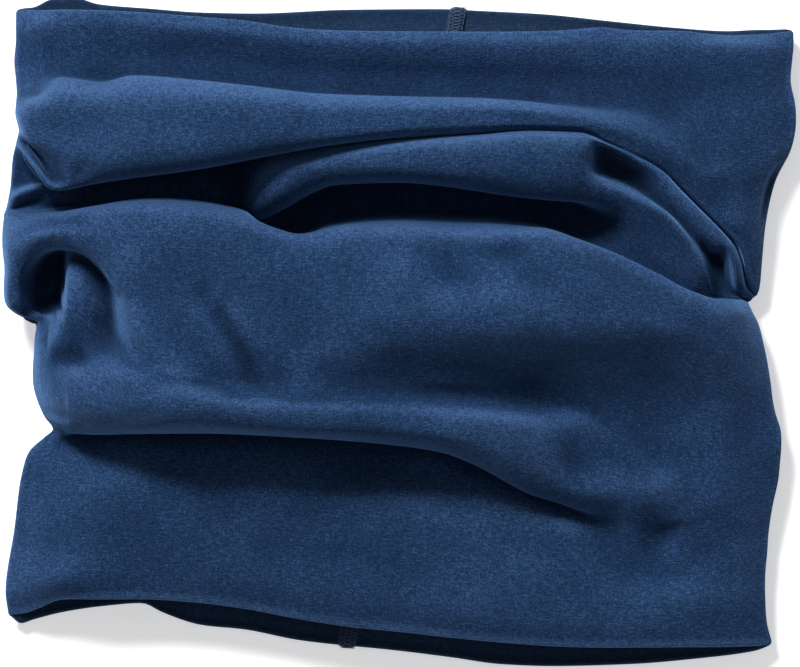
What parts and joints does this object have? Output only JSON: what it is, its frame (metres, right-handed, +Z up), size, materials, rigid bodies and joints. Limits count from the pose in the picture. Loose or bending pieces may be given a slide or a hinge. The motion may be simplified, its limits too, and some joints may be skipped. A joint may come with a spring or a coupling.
{
  "type": "neck gaiter",
  "caption": "Soft doubled velour tube for the neck, lying on its back and pushed together into soft folds across its width.",
  "frame": {"origin": "middle of the surface the gaiter lies on, under the middle of its own box", "axes": "+X across the tube's width, +Y along the tube's axis towards the top rim, +Z up out of the front ply"},
  "size_m": [0.2523, 0.2098, 0.048],
  "materials": {
    "shell_velour": "navy velour-faced stretch knit with a short brushed pile",
    "lining_velour": "the same navy velour, pile side towards the neck",
    "seam_thread": "navy polyester sewing thread, flatlock and overlock stitches",
    "label_tape": "blank woven satin tape"
  },
  "bodies": {
    "root": {"shell_tube": "shell_velour", "lining_tube": "lining_velour", "shell_back_seam": "seam_thread", "lining_back_seam": "seam_thread", "top_rim_seam": "seam_thread", "bottom_rim_seam": "seam_thread", "care_label": "label_tape"}
  },
  "joints": []
}
